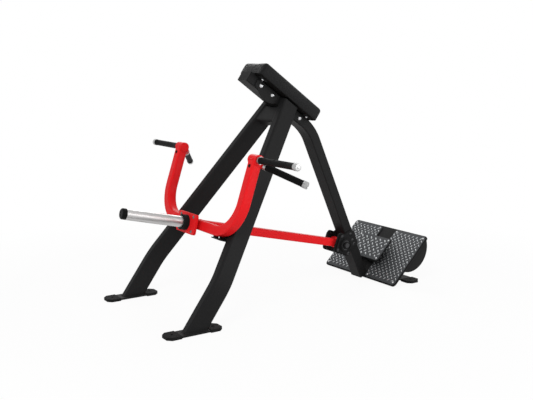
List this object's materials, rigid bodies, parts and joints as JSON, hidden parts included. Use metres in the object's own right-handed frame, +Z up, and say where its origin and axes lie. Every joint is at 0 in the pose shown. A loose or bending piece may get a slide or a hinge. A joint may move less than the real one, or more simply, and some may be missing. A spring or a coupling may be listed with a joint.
{
  "type": "incline lever row machine",
  "caption": "Chest-supported incline lever row: padded spine on splayed legs, hinged yoke lever with grips and a horn for weight plates, sloped tread plate for the feet",
  "frame": {"origin": "on the floor, midway between the horn's front end and the rear edge of the foot plate, on the plane of symmetry", "axes": "+Z up, +X towards the foot plate at the rear, +Y to the user's right when the user faces -X on the pad"},
  "size_m": [1.5634, 1.28, 1.107],
  "materials": {
    "frame_black": "satin black powder coat",
    "lever_red": "glossy red powder coat",
    "vinyl_black": "fine-grain black vinyl over foam",
    "board_wood": "plywood board, stained black",
    "tread_grey": "dark grey tread plate with a raised bar pattern",
    "rubber_black": "matte black rubber",
    "grip_rubber": "soft black grip rubber",
    "plastic_black": "black moulded plastic",
    "housing_cast": "black painted cast iron",
    "zinc_bolt": "bright zinc-plated steel",
    "shaft_steel": "dark oiled steel",
    "horn_chrome": "satin chrome plate",
    "alu_silver": "turned anodised aluminium"
  },
  "bodies": {
    "frame": {"spine": "frame_black", "spine_end_cap": "plastic_black", "left_leg": "frame_black", "right_leg": "frame_black", "leg_bridge": "frame_black", "left_saddle_plate": "frame_black", "right_saddle_plate": "frame_black", "saddle_bolts": "zinc_bolt", "left_foot_plate": "frame_black", "right_foot_plate": "frame_black", "front_foot_boots": "rubber_black", "pad_ears": "frame_black", "pad_board": "board_wood", "chest_pad": "vinyl_black", "pad_bolts": "zinc_bolt", "left_rest_bracket": "frame_black", "right_rest_bracket": "frame_black", "rest_buffers": "rubber_black", "left_pivot_ear": "frame_black", "right_pivot_ear": "frame_black", "left_bearing_housing": "housing_cast", "right_bearing_housing": "housing_cast", "pivot_bearings": "shaft_steel", "bearing_bolts": "shaft_steel", "foot_base_plate": "frame_black", "left_tread_plate": "tread_grey", "right_tread_plate": "tread_grey", "tread_bolts": "zinc_bolt", "step_riser": "frame_black", "step_plate": "frame_black", "step_tread": "tread_grey", "left_gusset": "frame_black", "right_gusset": "frame_black", "rear_post": "frame_black", "rear_foot_bar": "frame_black", "rear_foot_boots": "rubber_black"},
    "lever": {"lever_tube": "lever_red", "pivot_sleeve": "lever_red", "pivot_shaft": "shaft_steel", "shaft_collars": "housing_cast", "yoke_tube": "lever_red", "lever_stub": "lever_red", "stub_end_plate": "lever_red", "horn_flange": "lever_red", "flange_bolts": "zinc_bolt", "weight_horn": "horn_chrome", "horn_end_cap": "plastic_black", "horn_collar": "rubber_black", "left_handle_socket": "lever_red", "right_handle_socket": "lever_red", "left_angled_socket": "lever_red", "right_angled_socket": "lever_red", "handle_bars": "shaft_steel", "left_grips": "grip_rubber", "right_grips": "grip_rubber", "grip_end_caps": "alu_silver", "grip_collars": "alu_silver", "socket_screws": "plastic_black"}
  },
  "joints": [
    {"name": "lever_pivot", "type": "hinge", "parent": "frame", "child": "lever", "pos_m": [0.4099, 0, 0.198], "axis": [0, 1, 0], "range_deg": [0, 34]}
  ]
}
